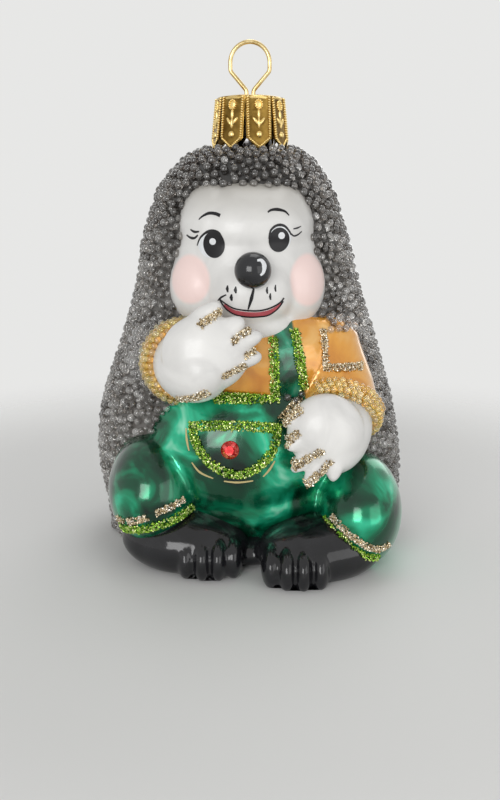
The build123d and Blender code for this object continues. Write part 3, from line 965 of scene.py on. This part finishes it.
# Glitter: coarse flakes of coloured glass shaken over lines of wet glue, where they lie every way up.
# Lime green edges the dungarees, and champagne marks the seams, stitches and fingers.
# The four fine stitches round the pocket are brushed on in gold instead.
lime_stops = (
    (0.0, (0.03, 0.09, 0.004)),
    (0.35, (0.15, 0.36, 0.02)),
    (0.7, (0.42, 0.60, 0.08)),
    (1.0, (0.90, 0.92, 0.50)),
)
champagne_stops = (
    (0.0, (0.14, 0.09, 0.04)),
    (0.35, (0.46, 0.35, 0.19)),
    (0.7, (0.76, 0.65, 0.46)),
    (1.0, (1.0, 0.97, 0.90)),
)
lime_lines = (
    *("pocket_edge_glitter", "bib_edge_glitter", "strap_edge_glitter"),
    *("right_hem_glitter", "left_hem_glitter"),
)
champagne_lines = (
    *("right_hem_stitch", "left_hem_stitch", "sleeve_seam_glitter"),
    *("right_hand_glitter", "left_hand_glitter", "right_cuff_glitter", "left_wrist_glitter"),
)
line_top = 0.12
flake_cover = 0.95
flake_stray = 0.45
gold_thread = (0.62, 0.50, 0.24)
pocket_stitches = (
    ((-14.3, 34), (-14.1, 31.5), (-13.6, 29.2)),
    ((-13, 26.6), (-11.2, 24.5), (-8.2, 23.3)),
    ((-5.8, 22.8), (-2.7, 22.6), (0.7, 23)),
    ((2.9, 23.9), (4.3, 25.5), (5.5, 27.5)),
)
flake = shape_of(lambda: bpy.ops.mesh.primitive_ico_sphere_add(subdivisions=1, radius=1))


def glass_under(point):
    """The glass straight behind a point, or else the nearest, and the way out of it there."""
    best = None
    for skin in clothing:
        spot, normal, _, away = skin.ray_cast(point - Vector((0, MM, 0)), Vector((0, 1, 0)), 4 * MM)
        if spot and (best is None or away < best[2]):
            best = (spot, normal, away)
    if best is None:
        best = min((skin.find_nearest(point) for skin in clothing), key=lambda found: found[3])
    return best[0], best[1]


def top_of(ribbon):
    """The triangles of a glue line that look away from the glass under it."""
    ribbon.calc_loop_triangles()
    corners = [v.co for v in ribbon.vertices]
    top = []
    for triangle in ribbon.loop_triangles:
        a, b, c = [corners[i] for i in triangle.vertices]
        middle = (a + b + c) / 3
        spot, out = glass_under(middle)
        if out.dot((b - a).cross(c - a)) > 0 and (middle - spot).dot(out) > line_top * MM:
            top.append((a, b, c))
    return top


def flake_place(a, b, c, size):
    """Where a flake falls on a triangle of the line, tumbled, stretched and pressed to the glass."""
    u, v = random.random(), random.random()
    if u + v > 1:
        u, v = 1 - u, 1 - v
    stray = Vector([random.gauss(0, flake_stray * size) for _ in range(3)]) * MM
    spot, out = glass_under(a + (b - a) * u + (c - a) * v + stray)
    spin = Matrix.Rotation(random.uniform(0, math.tau), 4, Vector([random.gauss(0, 1) for _ in range(3)]))
    span = [size * MM * random.uniform(0.55, 1.25) for _ in range(3)]
    return Matrix.Translation(spot + out * random.uniform(0.05, 0.45) * MM) @ spin @ Matrix.Diagonal((*span, 1))


for slot, stops, size, lines in (
    ("green_glitter", lime_stops, 0.26, lime_lines),
    ("champagne_glitter", champagne_stops, 0.24, champagne_lines),
):
    finish, tree, shader = new_finish(slot, 0.18, metallic=0.7)
    tree.links.new(shaded(tree, kept_on(tree, "tone"), stops), shader.inputs["Base Color"])
    for node in lines:
        top = top_of(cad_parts[node].data)
        areas = [(b - a).cross(c - a).length / 2 / MM**2 for a, b, c in top]
        thrown = random.choices(top, weights=areas, k=int(sum(areas) * flake_cover / size**2))
        laid = [flake_place(a, b, c, size) for a, b, c in thrown]
        flakes = many(node + "_flakes", flake, laid, [random.random() for _ in laid], smooth=False)
        wear(flakes, finish)
        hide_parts(node)
belly_skin = skin_of(dungarees)[0]
for number, points in enumerate(pocket_stitches):
    stitch = stroke("pocket_stitch_%d" % number, points, (0.25, 0.5, 0.25), colour=gold_thread, skin=belly_skin)
    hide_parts("pocket_stitch_glitter")


# The crystal on the pocket: a round flat-back stone of cut glass, foiled red and glued on.
# A ring of slanting facets runs round its flat top.
gem_seat = Vector((-4.41, -28.69, 30.21))
gem_facing = Vector((-0.103, -0.984, 0.145))
gem_sides = 16
gem_radius, gem_table, gem_height = 2.05, 1.0, 1.25
gem_middle = 0.9
red_stops = ((0.3, (0.42, 0.0, 0.008)), (0.52, (0.85, 0.02, 0.025)), (0.72, (1.0, 0.30, 0.24)))
bpy.ops.object.select_all(action="DESELECT")
bpy.ops.mesh.primitive_cone_add(
    vertices=gem_sides,
    radius1=gem_radius * MM,
    radius2=gem_table * MM,
    depth=gem_height * MM,
    location=(gem_seat + gem_facing * gem_middle) * MM,
    rotation=gem_facing.to_track_quat("Z", "Y").to_euler(),
)
gem = bpy.context.object
bpy.ops.object.transform_apply(location=True, rotation=True, scale=True)
half_facet = Matrix.Rotation(math.pi / gem_sides, 3, gem_facing)
for corner in gem.data.vertices:
    if (corner.co / MM - gem_seat).dot(gem_facing) > gem_middle + 0.3:
        corner.co = gem_seat * MM + half_facet @ (corner.co - gem_seat * MM)
bpy.ops.object.mode_set(mode="EDIT")
bpy.ops.mesh.select_all(action="SELECT")
bpy.ops.mesh.quads_convert_to_tris(ngon_method="CLIP")
bpy.ops.object.mode_set(mode="OBJECT")
face_out()
gem.name = "pocket_crystal"
red_foil, tree, shader = new_finish("red_crystal", 0.08, 1.0, metallic=0.6)
clouded(tree, shader, 900, red_stops)
wear(gem, red_foil)
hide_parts("pocket_gem")


# The crown cap: stamped from thin gilt sheet, a ribbed disc with eight pointed petals that spread over the neck.
# Each petal has a roped border, and is embossed with a ring, a stem, three leaves and a ball.
cap_top = 106.4
cap_sheet = 0.4
petal_count = 8
petal_turn = 14.5
petal_width = 5.8
petal_drop = 11.6
petal_point = 2.4
petal_root = 7.2
petal_flare = math.radians(6)
rope = 0.3
rope_in = 0.42
rope_proud = 0.42
point_knots = 7
ring_down, ring_knots = 1.9, 12
leaf_lean = 38
crown_profile = (
    *((1.75, 106.0), (1.75, 106.4), (2.2, 106.55), (2.7, 106.4), (5.4, 106.4), (5.8, 106.58), (6.3, 106.4)),
    *((7.0, 106.4), (7.5, 106.25), (7.75, 105.95), (7.7, 105.6), (7.3, 105.6), (7.25, 105.85), (7.0, 106.0)),
)
gilt_stops = ((0.3, (0.12, 0.065, 0.012)), (0.6, (0.42, 0.265, 0.065)), (1.0, (0.86, 0.65, 0.27)))


def petal_spot(across, down, out=0.0):
    """A place on the front petal: across it, down from the cap's edge, and out from its sheet."""
    return Vector(
        (
            across,
            -(petal_root + down * math.sin(petal_flare) + out * math.cos(petal_flare)),
            cap_top - 0.2 - down * math.cos(petal_flare) + out * math.sin(petal_flare),
        )
    )


def raised(piece, height):
    """How far a stamped part stands out, kept on its points for the finish, which colours raised parts lighter and the
    flat sheet darker: painted light and shade.
    """
    relief_for_painted_light = piece.data.attributes.new("relief_for_painted_light", "FLOAT", "POINT")
    relief_for_painted_light.data.foreach_set("value", [height] * len(piece.data.vertices))
    return piece


def stamp(across, down, wide, tall, lean=0.0, proud=0.5):
    """One embossed swelling on the front petal."""
    bpy.ops.object.select_all(action="DESELECT")
    bpy.ops.mesh.primitive_uv_sphere_add(
        segments=12,
        ring_count=8,
        radius=MM,
        location=petal_spot(across, down, 0.15) * MM,
        rotation=(-petal_flare, math.radians(lean), 0),
        scale=(wide, proud, tall),
    )
    return raised(bpy.context.object, 0.9)


bpy.ops.object.select_all(action="DESELECT")
bpy.ops.mesh.primitive_grid_add(x_subdivisions=12, y_subdivisions=22, size=2)
petal = bpy.context.object
half = petal_width / 2
for corner in petal.data.vertices:
    side, share = corner.co.x, (1 - corner.co.y) / 2
    reach = petal_drop - petal_point * abs(side)
    edge_roll = 0.16 * max(0.0, abs(side) - 0.72) / 0.28
    corner.co = petal_spot(side * half, share * reach, 0.12 * (1 - side**2) - edge_roll) * MM
thick = petal.modifiers.new("sheet", "SOLIDIFY")
thick.thickness = cap_sheet * 0.8 * MM
thick.offset = 0
settle(petal, "petal")
raised(petal, 0.15)
stamps = []
side_run = petal_drop - petal_point - 0.3
side_knots = int(side_run / (rope * 1.7))
for side in (-1, 1):
    edge = side * (half - rope_in)
    for knot in range(side_knots):
        down = 0.35 + side_run * knot / side_knots
        stamps.append(stamp(edge, down, rope * 1.25, rope * 0.8, side * 28, rope_proud))
    for knot in range(point_knots):
        share = (knot + 0.5) / point_knots
        down = side_run + 0.2 + (petal_point - 0.35) * share
        stamps.append(stamp(edge * (1 - share), down, rope, rope, 0, rope_proud))
stamps.append(stamp(0, ring_down, 1.0, 1.15, proud=0.4))
for knot in range(ring_knots):
    angle = math.tau * knot / ring_knots
    stamps.append(stamp(0.82 * math.cos(angle), ring_down + 0.95 * math.sin(angle), 0.3, 0.3, proud=0.62))
stamps.append(stamp(0, 3.9, 0.42, 1.25))
for lean in (-leaf_lean, 0, leaf_lean):
    stamps.append(stamp(1.15 * math.sin(math.radians(lean)), 5.9 - 0.35 * abs(lean) / leaf_lean, 0.42, 1.2, lean))
stamps.append(stamp(0, 8.35, 0.8, 0.8, proud=0.62))
joined([petal, *stamps])
bpy.ops.object.transform_apply(location=True, rotation=True, scale=True)
petals = []
for number in range(petal_count):
    copy = petal.copy()
    copy.data = petal.data.copy()
    copy.data.transform(Matrix.Rotation(math.radians(petal_turn + 360 / petal_count * number), 4, "Z"))
    bpy.context.scene.collection.objects.link(copy)
    petals.append(copy)
bpy.data.objects.remove(petal)
bpy.ops.object.select_all(action="DESELECT")
bpy.ops.mesh.primitive_circle_add(
    vertices=96, radius=crown_profile[0][0] * MM, fill_type="NOTHING", location=(0, 0, crown_profile[0][1] * MM)
)
crown = bpy.context.object
bpy.ops.object.transform_apply(location=True, rotation=True, scale=True)
bpy.ops.object.mode_set(mode="EDIT")
bpy.ops.mesh.select_all(action="SELECT")
for (radius, height), (last_radius, last_height) in zip(crown_profile[1:], crown_profile):
    bpy.ops.mesh.extrude_region_move(TRANSFORM_OT_translate={"value": (0, 0, (height - last_height) * MM)})
    bpy.ops.transform.resize(value=(radius / last_radius, radius / last_radius, 1), center_override=(0, 0, 0))
bpy.ops.mesh.select_all(action="DESELECT")
bpy.ops.mesh.select_non_manifold()
bpy.ops.mesh.bridge_edge_loops()
bpy.ops.object.mode_set(mode="OBJECT")
face_out()
raised(crown, 0.6)
joined([crown, *petals])
settle(crown, "stamped_cap")
bpy.ops.object.shade_smooth_by_angle(angle=0.8)
gilt, tree, shader = new_finish("gilt_metal", 0.3, metallic=1.0)
patches = mottled(tree, 420)
# The raised stamping is coloured lighter and the flat sheet darker: painted light on the relief, painted shade in the
# recesses.
tone = maths(tree, "MULTIPLY_ADD", patches["Cloud"], 0.45, kept_on(tree, "relief_for_painted_light"))
tree.links.new(shaded(tree, tone, gilt_stops), shader.inputs["Base Color"])
rippled(tree, shader, patches["Grain"], 0.15, 0.2)
wear(crown, gilt, body="cap")
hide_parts("crown_cap")


# The hanger: one drawn spring wire, gilt like the cap, just as the source has it.
# It is bent to a loop above the cap and two legs that grip inside the neck.
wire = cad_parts["hanger_wire"]
drawn, tree, shader = new_finish("gilt_wire", 0.22, metallic=1.0)
clouded(tree, shader, 600, ((0.3, (0.50, 0.36, 0.15)), (0.7, (0.80, 0.64, 0.34))))
wire.data.materials.clear()
wire.data.materials.append(drawn)


# The stage: a pale floor that fades into a pale room, soft boxes in front, above and behind,
# and the camera a little above the figure.
room = (0.80, 0.80, 0.79)
floor_solid_to, floor_gone_at = 0.09, 0.2
bpy.ops.object.select_all(action="DESELECT")
bpy.ops.mesh.primitive_plane_add(size=3, location=(0, 0, 0))
floor = bpy.context.object
floor.name = "paper_floor"
paper, tree, shader = new_finish("paper", 0.8)
shader.inputs["Base Color"].default_value = (*room, 1)
reach = measure(tree, "LENGTH", place_on(tree))
clear = tree.nodes.new("ShaderNodeBsdfTransparent")
blend = tree.nodes.new("ShaderNodeMixShader")
tree.links.new(spread(tree, reach, floor_solid_to, floor_gone_at, kind="SMOOTHSTEP"), blend.inputs["Fac"])
tree.links.new(shader.outputs["BSDF"], blend.inputs[1])
tree.links.new(clear.outputs["BSDF"], blend.inputs[2])
tree.links.new(blend.outputs["Shader"], tree.nodes["Material Output"].inputs["Surface"])
floor.data.materials.append(paper)

world = bpy.data.worlds.new("studio")
bpy.context.scene.world = world
world.use_nodes = True
tree = world.node_tree
backdrop = tree.nodes["Background"]
backdrop.inputs["Color"].default_value = (*room, 1)
ray = tree.nodes.new("ShaderNodeLightPath")
shown = maths(tree, "MAXIMUM", ray.outputs["Is Camera Ray"], ray.outputs["Is Glossy Ray"])
shown = maths(tree, "MAXIMUM", shown, ray.outputs["Is Transmission Ray"])
tree.links.new(spread(tree, shown, 0.0, 1.0, low=0.55), backdrop.inputs["Strength"])
for name, power, size, spot, aim in (
    ("key_light", 2.1, 0.35, (-0.25, -0.65, 0.2), (0, 0, 0.05)),
    ("fill_light", 1.0, 0.5, (0.5, -0.5, 0.14), (0, 0, 0.05)),
    ("top_light", 0.5, 0.3, (0.05, 0.15, 0.6), (0, 0, 0.06)),
    ("back_light", 0.9, 0.5, (0.25, 0.6, 0.3), (0, 0, 0.05)),
):
    lamp = bpy.data.lights.new(name, "AREA")
    lamp.energy = power
    lamp.size = size
    holder = bpy.data.objects.new(name, lamp)
    holder.location = spot
    holder.rotation_euler = (Vector(aim) - Vector(spot)).to_track_quat("-Z", "Y").to_euler()
    bpy.context.scene.collection.objects.link(holder)

camera_data = bpy.data.cameras.new("camera")
camera_data.sensor_fit = "VERTICAL"
camera_data.sensor_height = 36
camera_data.lens = 38.7
camera_data.clip_start = 0.01
camera = bpy.data.objects.new("camera", camera_data)
camera.location = (0, -0.2098, 0.0867)
camera.rotation_euler = (math.radians(76), 0, 0)
bpy.context.scene.collection.objects.link(camera)
bpy.context.scene.camera = camera
bpy.context.scene.view_settings.view_transform = "Standard"
